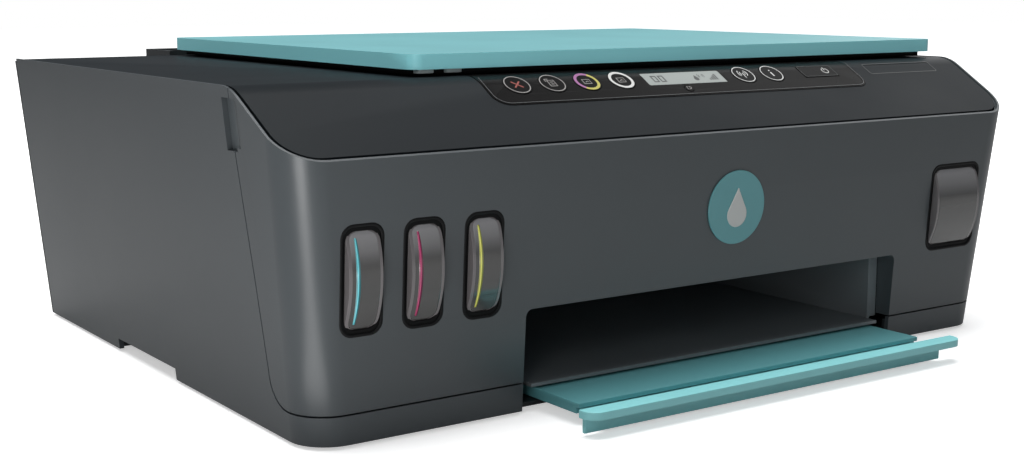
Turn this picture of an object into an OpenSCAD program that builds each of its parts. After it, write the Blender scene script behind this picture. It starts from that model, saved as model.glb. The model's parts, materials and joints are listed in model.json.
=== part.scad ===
// Ink tank printer with a flatbed scanner. Millimetres.
// X runs left to right seen from the front, Y runs front to back, Z is up.
// The origin is on the table, in the middle of the footprint.

/* [Body] */
// Width across the side panels at deck height
body_w = 447; // [440:1:455]
// Height of the scanner deck
deck_z = 148; // [147:0.5:149]
// Height of the front face, where the slope begins
fascia_z = 120; // [119:0.5:121]
// How far the front face stands out from the middle, at its top
front_reach = 166.2; // [165:0.1:168]
// How far the back wall stands from the middle
back_reach = 166; // [165:0.5:167]
// Where the deck folds down into the front slope
fold_y = -119.6; // [-121:0.1:-118]
// Inward lean of each side wall, in degrees
side_taper = 5.44; // [5:0.02:5.5]
// Backward lean of the front face, in degrees
front_lean = 3.8; // [3.5:0.1:4]
// Radius of the upright front corners
corner_r = 18; // [16:1:20]
// Radius of the fold between deck and slope
fold_r = 25; // [20:1:30]
// Thickness of the outer panels
wall = 2.5; // [2:0.1:3]
// Gap along the seams between panels
seam_gap = 0.8; // [0.3:0.05:1]
// Width of the thin rim that shows round the deck
rim_t = 1.2; // [0.8:0.1:2]

/* [Front] */
// Middle of the paper path, across the printer
path_x = 15.2; // [14:0.1:16]
// Width of the paper exit
exit_w = 239; // [236:1:240]
// Top of the paper exit
exit_top = 47.8; // [46:0.2:48]
// Height of the seam under the front cover
base_seam_z = 13.6; // [13:0.2:14]
// Radius of the paper exit's upper corners
exit_corner_r = 3.5; // [1:0.5:5]
// Bottom and top of the ink windows
window_z = [48, 93]; // [40:1:100]
// Middles of the slim ink windows, from the left
slim_window_x = [-187, -157.7, -127.9]; // [-190:0.1:-120]
// Width of a slim ink window
slim_window_w = 18; // [17:0.5:19]
// Middle of the wide ink window
wide_window_x = 177.8; // [176:0.1:179]
// Width of the wide ink window
wide_window_w = 36.5; // [35:0.5:38]
// Diameter of the round badge
badge_d = 36; // [30:1:40]

/* [Lid and scanner] */
// Left and right edges of the lid
lid_x = [-131, 218.4]; // [-140:0.1:220]
// Front and back edges of the lid
lid_y = [-111, 161.6]; // [-115:0.1:165]
// Underside and top of the lid
lid_z = [151, 158]; // [150:0.5:158]
// Left and right edges of the glass
glass_x = [-112, 196]; // [-115:1:200]
// Front and back edges of the glass
glass_y = [-89, 135]; // [-90:1:140]
// How far the lid opens, in degrees
lid_open = 85; // [60:1:90]

/* [Control panel] */
// Left and right edges of the panel
panel_x = [-103.5, 136]; // [-110:0.5:140]
// Lower edge of the panel, measured up the slope
panel_v = 31; // [30:0.5:32]
// Middles of the round keys across the printer
round_key_x = [-85.1, -65.2, -45.1, -24.4, 55.1, 74.8]; // [-90:0.1:90]
// Middle of the round keys, measured up the slope
key_v = 45.7; // [44:0.1:47]
// Diameter of a round key
key_d = 14; // [12:0.5:15]
// Travel of a key
key_travel = 0.6; // [0.4:0.1:0.8]

/* [Paper] */
// Width of the widest sheet
sheet_w = 216; // [210:1:216]
// Length of the rear paper support
support_len = 128; // [110:1:130]

/* [Hidden] */
$fn = 48;
slope_a = atan2(deck_z - fascia_z, front_reach + fold_y);
base_z = 1;
foot_h = 3.5;
run_gap = 0.05;
slate = [0.33, 0.35, 0.36];
dark = [0.14, 0.16, 0.17];
teal = [0.42, 0.66, 0.68];
steel = [0.7, 0.7, 0.72];
black = [0.06, 0.06, 0.07];
ink_colour = ["cyan", "magenta", "yellow"];

// Outer faces of the casing at a given height
function side_x(z) = body_w / 2 - (deck_z - z) * tan(side_taper);
function front_y(z) = -front_reach + (fascia_z - z) * tan(front_lean);
function arc(cx, cy, r, a0, a1, n) =
    [for (i = [0:n]) let (a = a0 + (a1 - a0) * i / n) [cx + r * cos(a), cy + r * sin(a)]];

// Plan of the casing at one height, moved in by d, with rounded front corners
module plan(z, d) {
    sx = side_x(z) - d;
    fy = front_y(z) + d;
    r = corner_r - d;
    polygon(concat(
        [[sx, back_reach - d], [-sx, back_reach - d]],
        arc(-sx + r, fy + r, r, 180, 270, 10),
        arc(sx - r, fy + r, r, 270, 360, 10)));
}

// Solid with the casing's leaning walls, moved in by d
module plan_solid(d, z0, z1) {
    hull() {
        translate([0, 0, z0]) linear_extrude(0.01) plan(z0, d);
        translate([0, 0, z1]) linear_extrude(0.01) plan(z1, d);
    }
}

// Extrudes a side view, given as [y, z] points, from x0 to x1
module side_prism(x0, x1, points) {
    translate([x0, 0, 0]) rotate([90, 0, 90]) linear_extrude(x1 - x0) polygon(points);
}

// Top line of the side view, moved in by d: slope, rounded fold, flat deck
fold_arc_y = fold_y + fold_r * tan(slope_a / 2);
function slope_z(y, d) = fascia_z + (y + front_reach) * tan(slope_a) - d / cos(slope_a);
function top_line(d, y0, y1) = concat(
    [[y0, slope_z(y0, d)]],
    arc(fold_arc_y, deck_z - fold_r, fold_r - d, 90 + slope_a, 90, 6),
    [[y1, deck_z - d]]);

module below_top(d, z0) {
    side_prism(-300, 300, concat([[-200, z0]], top_line(d, -200, 200), [[200, z0]]));
}

// The casing's outer skin, open above and below
module body_skin() {
    difference() {
        intersection() {
            plan_solid(0, base_z, deck_z + 4);
            below_top(0, base_z);
        }
        plan_solid(wall, -10, deck_z + 20);
    }
}

// Step inside the top edge, so that only a thin rim shows round the deck
rim_drop = 1.5;
module rim_step() {
    difference() {
        plan_solid(rim_t, 100, deck_z + 5);
        below_top(rim_drop, 90);
    }
}

// Seam between side panel and front cover, from the deck down and round to the front
seam = concat([[-119, 160], [-119, fascia_z], [-123.9, 64], [-126.6, 27]],
    [for (p = arc(-139.6, 27, 13.2, 0, -90, 6)) p], [[-200, base_seam_z]]);
function shifted(points, dy, dz) = [for (p = points) [p[0] + dy, p[1] + dz]];

module side_region() {
    side_prism(-300, 300, concat(seam, [[-200, -10], [back_reach - wall, -10],
        [back_reach - wall, 160]]));
}

module cover_region() {
    side_prism(-300, 300, concat(shifted(seam, -seam_gap, seam_gap), [[-200, 160]]));
}

// Finger notch across the seam, with a shallow scoop in front, and hand recess under the side panel
notch_y = [-122, -112];
notch_z = [121, 143];
scoop_r = 9;
recess_y = [-19, 57];
recess_z = 6.6;
module finger_notches() {
    for (s = [-1, 1])
        translate([s * 222, (notch_y[0] + notch_y[1]) / 2, (notch_z[0] + notch_z[1]) / 2])
            cube([14, notch_y[1] - notch_y[0], notch_z[1] - notch_z[0]], center = true);
    for (s = [-1, 1])
        translate([s * (side_x(132) + scoop_r - 1), notch_y[0] + 0.5, 132])
            rotate([0, s * side_taper, 0]) cylinder(r = scoop_r, h = 20, center = true);
}

module side_panel(s) {
    exit_side = s < 0 ? path_x - exit_w / 2 : path_x + exit_w / 2;
    color(slate) difference() {
        intersection() {
            body_skin();
            side_region();
            translate([s < 0 ? -300 : exit_side, -300, -20])
                cube([s < 0 ? exit_side + 300 : 300, 600, 200]);
        }
        finger_notches();
        rim_step();
        translate([-300, recess_y[0], 0]) cube([600, recess_y[1] - recess_y[0], recess_z]);
    }
}
module left_side_panel() { side_panel(-1); }
module right_side_panel() { side_panel(1); }

// Places children on the front face: x across, y up the face, z out of it
module on_front(x, z) {
    translate([x, front_y(z), z]) rotate([90 + front_lean, 0, 0]) children();
}

module round_rect(w, h, r, t) {
    linear_extrude(t) polygon(concat(
        arc(w / 2 - r, h / 2 - r, r, 0, 90, 6), arc(-w / 2 + r, h / 2 - r, r, 90, 180, 6),
        arc(-w / 2 + r, -h / 2 + r, r, 180, 270, 6), arc(w / 2 - r, -h / 2 + r, r, 270, 360, 6)));
}

window_mid_z = (window_z[0] + window_z[1]) / 2;
window_h = window_z[1] - window_z[0];
return_y = -150;
window_gap = 1.2;
window_bulge = 4;
window_r = 45;
module window_slot(x, w, grow, z0, t) {
    on_front(x, window_mid_z) translate([0, 0, z0]) round_rect(w + grow, window_h + grow, 5, t);
}

module front_cover() {
    x0 = path_x - exit_w / 2;
    color(slate) difference() {
        union() {
            intersection() {
                body_skin();
                cover_region();
            }
            // Return frame round the paper exit
            intersection() {
                translate([x0 - 2, front_y(base_seam_z) - 2, base_seam_z + seam_gap])
                    cube([exit_w + 4, return_y - front_y(base_seam_z) + 2, exit_top - base_seam_z + 1.6]);
                plan_solid(0.5, -10, deck_z);
            }
        }
        // Paper exit with round upper corners
        translate([x0, -100, 0]) rotate([90, 0, 0]) linear_extrude(100) {
            square([exit_w, exit_top - exit_corner_r]);
            translate([exit_corner_r, 0]) square([exit_w - 2 * exit_corner_r, exit_top]);
            for (x = [exit_corner_r, exit_w - exit_corner_r])
                translate([x, exit_top - exit_corner_r]) circle(exit_corner_r);
        }
        for (x = slim_window_x) window_slot(x, slim_window_w, 0, -6, 12);
        window_slot(wide_window_x, wide_window_w, 0, -6, 12);
        finger_notches();
        rim_step();
    }
}

module rear_panel() {
    color(dark) difference() {
        union() {
            intersection() {
                plan_solid(0, base_z, deck_z - 1);
                translate([-300, back_reach - wall, 0]) cube([600, wall, 146.6]);
            }
            // Ears that carry the scanner hinge pins
            for (x = hinge_ear_x) translate([x - 2, 160.6, 138]) cube([4, 3.2, 8.2]);
        }
        translate([-106, 150, 78]) cube([242, 30, 64]);
        translate([-173, 150, 34]) cube([12.6, 30, 11.6]);
        translate([154, 150, 28]) cube([32, 30, 24]);
        for (s = [-1, 1]) translate([s * knuckle_x - 5, 150, 139]) cube([10, 30, 12]);
    }
    color(steel) for (s = [-1, 1]) x_rod(s * 201 - 8, s * 201 + 8, unit_hinge, 1.6);
}
unit_hinge = [163, 144.4];
hinge_ear_x = [-195, 195];
knuckle_x = 203;

// Floor of the machine with walls inside the panels
module base_chassis() {
    color(dark) difference() {
        union() {
            intersection() {
                plan_solid(wall, 1.2, 20);
                union() {
                    translate([-300, -300, 2]) cube([600, 600, 2]);
                    difference() {
                        translate([-300, -300, 2]) cube([600, 600, 10]);
                        plan_solid(wall + 2, 0, 30);
                        translate([-104.3, -300, 0]) cube([exit_w, 200, 30]);
                    }
                }
            }
            for (s = [-1, 1]) translate([s * 196 - 10, recess_y[0] - 2, 2]) cube([20, 80, 7.6]);
        }
        for (s = [-1, 1]) translate([s * 205 - 17, recess_y[0], 0])
            cube([34, recess_y[1] - recess_y[0], recess_z + 1]);
        for (x = [-175, 175]) for (y = [-130, 135])
            translate([x, y, 0]) cylinder(d = 14, h = foot_h - 1);
    }
}

module rubber_feet() {
    color(black) for (x = [-175, 175]) for (y = [-130, 135])
        translate([x, y, 0]) cylinder(d = 14, h = foot_h - 1);
}

bay_x = [-98, 128];
bay_floor_z = 12.3;
module exit_bay() {
    color(black) union() {
        translate([bay_x[0], -156.5, bay_floor_z - 1.6]) cube([bay_x[1] - bay_x[0], 136, 1.6]);
        for (x = [bay_x[0] - 2, bay_x[1]])
            translate([x, -149.8, 10.7]) cube([2, 129.3, 40]);
        for (x = [bay_x[0] - 6.3, bay_x[1]])
            translate([x, -149.8, 13]) cube([6.5, 2, 36.3]);
        translate([bay_x[0], -149.8, 49.4]) cube([bay_x[1] - bay_x[0], 110, 1.6]);
        translate([bay_x[0], -22, 10.7]) cube([bay_x[1] - bay_x[0], 1.5, 24]);
    }
}

module badge() {
    color(teal) on_front(17, 83.5) cylinder(d = badge_d, h = 1);
}

module case_screws() {
    color(steel) for (x = [-195, -125, 150, 195]) translate([x, back_reach, 20])
        rotate([-90, 0, 0]) difference() {
            cylinder(d = 7, h = 1.8);
            for (a = [0, 90]) rotate([0, 0, a]) translate([-2.2, -0.45, 0.8]) cube([4.4, 0.9, 2]);
        }
}

// Rear feeder: cheeks, sloping chute, front bar, bridge for the pick roller
feeder_x = [-132, 162.4];
support_hinge = [205.6, 147];
pick_axis = [155.2, 102.3];
module rear_feeder() {
    color(dark) difference() {
        union() {
            for (x = [feeder_x[0] + 27, feeder_x[1] - 29.5])
                side_prism(x, x + 2.5, [[163.3, 120.5], [163.3, 66], [148, 56], [141, 56], [141, 120.5]]);
            for (x = [feeder_x[0], feeder_x[1] - 2.5])
                side_prism(x, x + 2.5, [[166.2, 150], [203.6, 150], [203.6, 92], [166.2, 70]]);
            side_prism(feeder_x[0] + 2, feeder_x[1] - 2,
                [[203.6, 150], [203.6, 92], [166.2, 70], [166.2, 72.5], [201.2, 93.4], [201.2, 150]]);
            // Sloping chute the stack of sheets leans on
            side_prism(-105, 135.4,
                [[201.5, 150], [198, 150], [150, 64], [150, 58], [152, 58], [201.5, 146.7]]);
            // Front bar
            side_prism(feeder_x[0] + 2, feeder_x[1] - 2,
                [[178.6, 150], [176.2, 150], [176.2, 140], [178.6, 140]]);
            translate([-105, 141, 117.4]) cube([240.4, 20, 3.1]);
            for (x = [-20, 47]) translate([x, pick_axis[0] - 5, pick_axis[1] - 5]) cube([3, 10, 22]);
        }
        x_rod(-60, 140, pick_axis, 3 + run_gap);
        // Relief behind the paper support's knuckles
        for (s = [-1, 1]) translate([path_x + s * 109 - 4.6, 202.4, 143.4]) cube([9.2, 4, 8]);
    }
    color(steel) for (s = [-1, 1])
        translate([path_x + s * 116.5, support_hinge[0], support_hinge[1]]) rotate([0, s * 90, 0])
            translate([0, 0, -5]) cylinder(r = 1.5, h = 13.5);
    color(dark) for (s = [-1, 1])
        translate([path_x + s * 122.5 - 2.5, 202.6, 144.5]) cube([5, 4.6, 5]);
}

module paper_support() {
    x0 = path_x - 113;
    color(dark) difference() {
        union() {
            translate([x0, 204.2, support_hinge[1] - support_len]) cube([226, 2.8, support_len - 4]);
            for (s = [-1, 1]) translate([path_x + s * 109 - 4, 204.2, 140]) cube([8, 2.8, 7]);
            for (s = [-1, 1]) translate([path_x + s * 109 - 4, support_hinge[0], support_hinge[1]])
                rotate([0, 90, 0]) cylinder(r = 2.9, h = 8);
        }
        for (s = [-1, 1]) translate([path_x + s * 109 - 5, support_hinge[0], support_hinge[1]])
            rotate([0, 90, 0]) cylinder(r = 1.5 + run_gap, h = 10);
        translate([path_x - 30, 200, 30]) cube([60, 10, 14]);
    }
}

// Fence of one paper width guide, from the bar to just clear of the chute
module paper_guide(x) {
    color(dark) side_prism(x, x + 2.4, [[180, 156], [196, 156], [196, 150.6], [196.4, 148.6],
        [186.6, 131], [185.4, 131], [180, 140]]);
}
module paper_guide_left() { paper_guide(path_x - sheet_w / 2 - 2.4); }
module paper_guide_right() { paper_guide(path_x + sheet_w / 2); }

// Scanner unit: pan, deck, glass, rail
pan_z = 122;
deck_t = 3;
deck_drop = 0.3;
deck_inset = wall + 0.4;
pan_x = 214;
module scanner_base() {
    color(dark) difference() {
        union() {
            difference() {
                translate([-pan_x, -108, pan_z]) cube([2 * pan_x, 262, deck_z - deck_drop - deck_t - pan_z]);
                translate([-pan_x + 2, -106, pan_z + 2]) cube([2 * pan_x - 4, 258, 40]);
            }
            for (s = [-1, 1]) {
                translate([s * knuckle_x - 4, 150, 140]) cube([8, 11, 4.4]);
                x_rod(s * knuckle_x - 4, s * knuckle_x + 4, unit_hinge, 3.2);
            }
        }
        for (s = [-1, 1]) x_rod(s * knuckle_x - 5, s * knuckle_x + 5, unit_hinge, 1.6 + run_gap);
    }
}

// Deck surface from the lid's hinge line down to the front edge
module deck_solid(d, drop) {
    intersection() {
        plan_solid(d, 110, deck_z + 4);
        below_top(drop, 119.2);
        translate([-300, -300, 100]) cube([600, 460, 100]);
    }
}

// Places children on the deck's slope: x across, y up the slope, z out of it
module on_slope(x, v) {
    translate([x, -front_reach, fascia_z]) rotate([slope_a, 0, 0]) translate([0, v, 0]) children();
}

panel_t = 1.7;
panel_top = -0.1;
panel_back_y = -109;
function profile_band(d0, d1) = concat(top_line(d0, -200, panel_back_y),
    [for (i = [8:-1:0]) top_line(d1, -200, panel_back_y)[i]]);

// Bent plate that follows slope and fold, with round lower corners
module panel_plate(grow, d0, d1) {
    x0 = panel_x[0] - grow;
    w = panel_x[1] - panel_x[0] + 2 * grow;
    intersection() {
        side_prism(x0, x0 + w, profile_band(d0, d1));
        on_slope(x0 + w / 2, panel_v - grow + 40) translate([0, 0, -30])
            round_rect(w, 80, 8, 60);
    }
}

power_x = [96, 120.5];
power_v = [41, 50.6];
resume_at = [11.7, 36.6];
lcd_x = [-10, 41];
lcd_v = [40.7, 51];
module key_holes(grow) {
    for (x = round_key_x) on_slope(x, key_v) translate([0, 0, -12]) cylinder(d = key_d + 2 * grow, h = 20);
    on_slope(resume_at[0], resume_at[1]) translate([0, 0, -12]) cylinder(d = 5 + 2 * grow, h = 20);
    on_slope((power_x[0] + power_x[1]) / 2, (power_v[0] + power_v[1]) / 2) translate([0, 0, -12])
        linear_extrude(20) square([power_x[1] - power_x[0] + 2 * grow, power_v[1] - power_v[0] + 2 * grow],
            center = true);
}

module scanner_deck() {
    color(dark) difference() {
        deck_solid(deck_inset, deck_drop);
        intersection() {
            plan_solid(deck_inset + 2, 90, deck_z + 4);
            below_top(deck_drop + deck_t, 100);
            translate([-300, -300, 100]) cube([600, 500, 100]);
        }
        panel_plate(0.2, -3, panel_t - panel_top);
        key_holes(0.3);
        translate([glass_x[0] - 0.2, glass_y[0] - 0.2, deck_z - 2.3])
            cube([glass_x[1] - glass_x[0] + 0.4, glass_y[1] - glass_y[0] + 0.4, 10]);
        translate([glass_x[0] + 4, glass_y[0] + 4, 130])
            cube([glass_x[1] - glass_x[0] - 8, glass_y[1] - glass_y[0] - 8, 30]);
    }
    color(dark) for (x = lid_hinge_x) for (s = [-1, 1]) {
        translate([x + s * 13 - 2, lid_hinge[0] - 2.3, deck_z - deck_drop])
            cube([4, 4.6, lid_hinge[1] - deck_z + deck_drop]);
        x_rod(x + s * 13 - 2, x + s * 13 + 2, lid_hinge, 2.3);
    }
    color(steel) for (x = lid_hinge_x) translate([x - 15.4, lid_hinge[0], lid_hinge[1]])
        rotate([0, 90, 0]) cylinder(r = 1.5, h = 30.8);
}
lid_hinge = [160, 152.3];
lid_hinge_x = [-70, 155];

module control_panel() {
    color(black) difference() {
        panel_plate(0, -panel_top, panel_t - panel_top);
        key_holes(0.25);
        on_slope((lcd_x[0] + lcd_x[1]) / 2, (lcd_v[0] + lcd_v[1]) / 2) translate([0, 0, -1])
            round_rect(lcd_x[1] - lcd_x[0], lcd_v[1] - lcd_v[0], 1, 5);
    }
}

module lcd_display() {
    color([0.75, 0.78, 0.76]) on_slope((lcd_x[0] + lcd_x[1]) / 2, (lcd_v[0] + lcd_v[1]) / 2)
        translate([0, 0, -1]) round_rect(lcd_x[1] - lcd_x[0], lcd_v[1] - lcd_v[0], 1, 0.7);
}

key_h = 6;
module round_key(x, v, d) {
    color(black) on_slope(x, v) {
        translate([0, 0, -key_h]) cylinder(d = d, h = key_h + 0.1);
        translate([0, 0, -key_h]) cylinder(d = d + 2.4, h = 1.6);
    }
}
module key_cancel() { round_key(round_key_x[0], key_v, key_d); }
module key_copy_id() { round_key(round_key_x[1], key_v, key_d); }
module key_copy_colour() { round_key(round_key_x[2], key_v, key_d); }
module key_copy_black() { round_key(round_key_x[3], key_v, key_d); }
module key_wireless() { round_key(round_key_x[4], key_v, key_d); }
module key_info() { round_key(round_key_x[5], key_v, key_d); }
module key_resume() { round_key(resume_at[0], resume_at[1], 5); }
module key_power() {
    w = power_x[1] - power_x[0];
    h = power_v[1] - power_v[0];
    color(black) on_slope((power_x[0] + power_x[1]) / 2, (power_v[0] + power_v[1]) / 2) {
        translate([0, 0, -key_h]) round_rect(w, h, 1, key_h + 0.1);
        translate([0, 0, -key_h]) round_rect(w + 2.4, h + 2.4, 1, 1.6);
    }
}

module scanner_glass() {
    color([0.6, 0.75, 0.75]) translate([glass_x[0], glass_y[0], deck_z - 2.3])
        cube([glass_x[1] - glass_x[0], glass_y[1] - glass_y[0], 2.2]);
}

scan_rail_at = [20, 130];
module scan_rail() {
    color(steel) translate([-pan_x + 2, scan_rail_at[0], scan_rail_at[1]]) rotate([0, 90, 0])
        cylinder(r = 3, h = 2 * pan_x - 4);
}

module scan_head() {
    color(black) difference() {
        translate([-150, -94, 125]) cube([18, 232, 14]);
        translate([-160, scan_rail_at[0], scan_rail_at[1]]) rotate([0, 90, 0])
            cylinder(r = 3 + run_gap, h = 40);
    }
    color([0.9, 0.9, 0.9]) translate([-147, -86, 139]) cube([12, 216, 2.4]);
}

module lid_cover() {
    t = lid_z[1] - lid_z[0];
    w = lid_x[1] - lid_x[0];
    h = lid_y[1] - lid_y[0];
    color(teal) difference() {
        union() {
            translate([lid_x[0] + w / 2, lid_y[0] + h / 2, lid_z[0]]) round_rect(w, h, 6, t);
        }
        translate([lid_x[0] + 12, lid_y[0] + 12, lid_z[0] - 1]) cube([w - 24, h - 34, 4.5]);
        for (x = lid_hinge_x) for (s = [-1, 1])
            translate([x + s * 13 - 2.6, lid_hinge[0] - 2.8, lid_z[0] - 1]) cube([5.2, 12, 4.9]);
        for (x = lid_hinge_x) translate([x - 17, lid_hinge[0], lid_hinge[1]]) rotate([0, 90, 0])
            cylinder(r = 1.5 + run_gap, h = 34);
    }
}

module lid_pad() {
    color([0.92, 0.92, 0.9]) translate([lid_x[0] + 14, lid_y[0] + 14, deck_z + 0.3])
        cube([glass_x[1] - lid_x[0] - 14, glass_y[1] - lid_y[0] - 12, lid_z[0] + 3.5 - deck_z - 0.3]);
}

// Output tray and its extender, in the position with the bar one hand's width out
tray_x = [-94.5, 125];
tray_top = 9.6;
bar_x = [-104.3, 134.7];
bar_y = [-208.6, -199.5];
module output_tray() {
    w = tray_x[1] - tray_x[0];
    color(teal) union() {
        translate([tray_x[0], -187, tray_top - 2.2]) cube([w, 140, 2.2]);
        for (x = [tray_x[0], tray_x[1] - 2]) translate([x, -185, 4.6]) cube([2, 138, 3]);
    }
}

module tray_extender() {
    bar_w = bar_x[1] - bar_x[0];
    color(teal) union() {
        translate([tray_x[0] + 2.4, -201, 4.6]) cube([tray_x[1] - tray_x[0] - 4.8, 131, 2.2]);
        difference() {
            translate([path_x, bar_y[0] + 10, 7.9]) round_rect(bar_w, 20, 7, 3.7);
            translate([-300, bar_y[1], 0]) cube([600, 30, 30]);
        }
        translate([bar_x[0] + 2, -201.4, base_z]) cube([bar_w - 12, 1.9, 9]);
    }
}

// Mechanism
frame_x = [-189, 192.5];
frame_foot_z = 9.6;
rod_axis = [30, 84];
feed_axis = [66, 42.5];
exit_axis = [-6, 44.4];
idler_axis = [27.97, 43.2];
gear_module = 1;
feed_teeth = 40;
idler_teeth = 36;
exit_teeth = 32;
pinion_teeth = 12;
mesh_r = (feed_teeth + pinion_teeth) / 2 * gear_module;
gear_x = -197;
gear_w = 5;

module x_rod(x0, x1, at, r) {
    translate([x0, at[0], at[1]]) rotate([0, 90, 0]) cylinder(r = r, h = x1 - x0);
}

// Gear outline with trapezoid teeth, the first tooth at angle a0
module gear(n, a0, bore, w) {
    r = n * gear_module / 2;
    half = 360 / n / 4;
    tooth = [[-1.25 * half, r - 1.2], [-0.8 * half, r - 0.1], [-0.4 * half, r + 0.8],
        [0.4 * half, r + 0.8], [0.8 * half, r - 0.1], [1.25 * half, r - 1.2]];
    linear_extrude(w) difference() {
        polygon([for (i = [0:n - 1]) for (p = tooth) let (a = a0 + i * 360 / n + p[0])
            [p[1] * cos(a), p[1] * sin(a)]]);
        if (bore > 0) circle(r = bore);
    }
}
module x_gear(x, at, n, a0, bore, w) {
    translate([x, at[0], at[1]]) rotate([90, 0, 90]) gear(n, a0, bore, w);
}

function bearing(p, q) = atan2(q[1] - p[1], q[0] - p[0]);
feed_to_idler = bearing(feed_axis, idler_axis);
// The pinion sits on the line of the feed gear's eighteenth tooth from the idler
motor_dir = feed_to_idler - 18 * 360 / feed_teeth;
pinion_axis = [feed_axis[0] + mesh_r * cos(motor_dir), feed_axis[1] + mesh_r * sin(motor_dir)];
idler_to_exit = bearing(idler_axis, exit_axis);
idler_phase = feed_to_idler + 180 + 180 / idler_teeth;
idler_step = 360 / idler_teeth;
idler_off = (idler_to_exit - idler_phase) - idler_step * floor((idler_to_exit - idler_phase) / idler_step);
exit_phase = idler_to_exit + 180 + idler_off * idler_teeth / exit_teeth + 180 / exit_teeth;

module mech_frame() {
    color(steel) difference() {
        union() {
            translate([frame_x[0], 70, 60]) cube([frame_x[1] - frame_x[0], 1.5, 54]);
            for (x = [frame_x[0], frame_x[1] - 1.5])
                translate([x, -16, frame_foot_z]) cube([1.5, 87.5, 114 - frame_foot_z]);
            for (x = [frame_x[0], frame_x[1] - 6]) translate([x, -16, frame_foot_z]) cube([6, 75, 1.5]);
            translate([frame_x[0], 71, 30]) cube([1.5, 36, 42]);
        }
        for (at = [feed_axis, exit_axis]) x_rod(-220, 220, at, 3 + run_gap);
        x_rod(-220, 220, rod_axis, 4);
        x_rod(-220, -180, idler_axis, 3 + run_gap);
        x_rod(-220, -180, pinion_axis, 5);
    }
}

module guide_rod() {
    color(steel) x_rod(frame_x[0] - 1, frame_x[1] + 1, rod_axis, 4);
}

module encoder_strip() {
    color([0.8, 0.8, 0.8]) translate([frame_x[0] + 1.5, 62, 100])
        cube([frame_x[1] - frame_x[0] - 3, 0.6, 9]);
}

belt_z = 88;
module carriage_belt() {
    color(black) translate([0, 57, belt_z]) difference() {
        linear_extrude(5) polygon(concat(arc(180, 0, 6.8, -90, 90, 16), arc(-172, 0, 6.8, 90, 270, 16)));
        translate([0, 0, -1]) linear_extrude(7)
            polygon(concat(arc(180, 0, 5.8, -90, 90, 16), arc(-172, 0, 5.8, 90, 270, 16)));
    }
    color(steel) translate([180, 57, belt_z - 0.5]) difference() {
        cylinder(r = 5.7, h = 6);
        translate([0, 0, -1]) cylinder(r = 1.5, h = 8);
    }
    color(steel) translate([180, 57, belt_z - 6]) {
        cylinder(r = 1.5, h = 12);
        translate([-4, -4, 0]) cube([8, 17, 1.5]);
    }
}

module carriage_motor() {
    color(steel) translate([-172, 57, 48]) difference() {
        cylinder(r = 12, h = 36);
        translate([0, 0, 20]) cylinder(r = 1.5 + run_gap, h = 20);
    }
}

module drive_pulley() {
    color(steel) translate([-172, 57, 72]) union() {
        cylinder(r = 1.5, h = 26);
        translate([0, 0, 14.5]) cylinder(r = 5.7, h = 8);
    }
}

module feed_motor() {
    color(steel) difference() {
        x_rod(frame_x[0] + 1.5, frame_x[0] + 30, pinion_axis, 13);
        x_rod(frame_x[0], frame_x[0] + 12, pinion_axis, 1.5 + run_gap);
    }
}

module feed_pinion() {
    color(steel) x_rod(gear_x - 1, frame_x[0] + 11, pinion_axis, 1.5);
    color([0.85, 0.85, 0.82])
        x_gear(gear_x, pinion_axis, pinion_teeth, motor_dir + 180 + 180 / pinion_teeth, 0, gear_w);
}

module feed_roller() {
    color(steel) x_rod(gear_x - 1, 196, feed_axis, 3);
    color(black) x_rod(path_x - 113, path_x + 113, feed_axis, 8.6);
    color([0.85, 0.85, 0.82]) x_gear(gear_x, feed_axis, feed_teeth, feed_to_idler, 0, gear_w);
}

module exit_roller() {
    color(steel) x_rod(gear_x - 1, 196, exit_axis, 3);
    color(black) for (i = [-2:2]) x_rod(path_x + i * 46 - 6, path_x + i * 46 + 6, exit_axis, 6.6);
    color([0.85, 0.85, 0.82]) x_gear(gear_x, exit_axis, exit_teeth, exit_phase, 0, gear_w);
}

module idler_gear() {
    color([0.85, 0.85, 0.82]) x_gear(gear_x, idler_axis, idler_teeth, idler_phase, 0, gear_w);
    color(steel) x_rod(gear_x - 1, frame_x[0] + 4, idler_axis, 3);
}

module pick_roller() {
    color(steel) x_rod(-22, 52, pick_axis, 3);
    color(black) x_rod(-8, 38, pick_axis, 14);
}

module platen() {
    color(black) union() {
        translate([path_x - 116, 2, 47.6]) cube([232, 54, 2]);
        for (i = [-7:7]) translate([path_x + i * 15 - 0.7, 3, 49]) cube([1.4, 51, 1.8]);
        for (x = [path_x - 116, path_x + 114]) translate([x, 2, 4]) cube([2, 50, 44]);
    }
}

module service_station() {
    color(black) union() {
        difference() {
            translate([136, 6, 4]) cube([50, 46, 46]);
            translate([138, 8, 34]) cube([46, 42, 20]);
        }
        for (x = [141, 163]) translate([x, 12, 33]) cube([18, 26, 17.4]);
    }
    color([0.3, 0.3, 0.3]) translate([160.2, 12, 33]) cube([1.6, 26, 18]);
}

module carriage() {
    color([0.2, 0.2, 0.21]) difference() {
        union() {
            translate([134, 8, 58]) cube([54, 38, 40]);
            translate([134, 45, 84]) cube([54, 9, 14]);
        }
        translate([137, 10, 64]) cube([22.6, 12, 50]);
        translate([162.4, 10, 64]) cube([22.6, 12, 50]);
        x_rod(120, 200, rod_axis, 4 + run_gap);
        translate([130, 49.2, belt_z - 1]) cube([62, 10, 7]);
        for (x = [139, 164.4]) translate([x, 11, 50]) cube([18.6, 10, 20]);
    }
}

module print_heads() {
    color(black) for (x = [137.3, 162.7]) {
        translate([x, 10.3, 64.3]) cube([22, 11.4, 38]);
        translate([x + 2, 11.4, 53.4]) cube([18, 9.2, 12]);
    }
}

module main_board() {
    color([0.1, 0.35, 0.2]) translate([-202, 156, 20]) cube([76, 1.6, 86]);
    color(black) translate([-186, 148, 60]) cube([24, 8.2, 24]);
}

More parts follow.
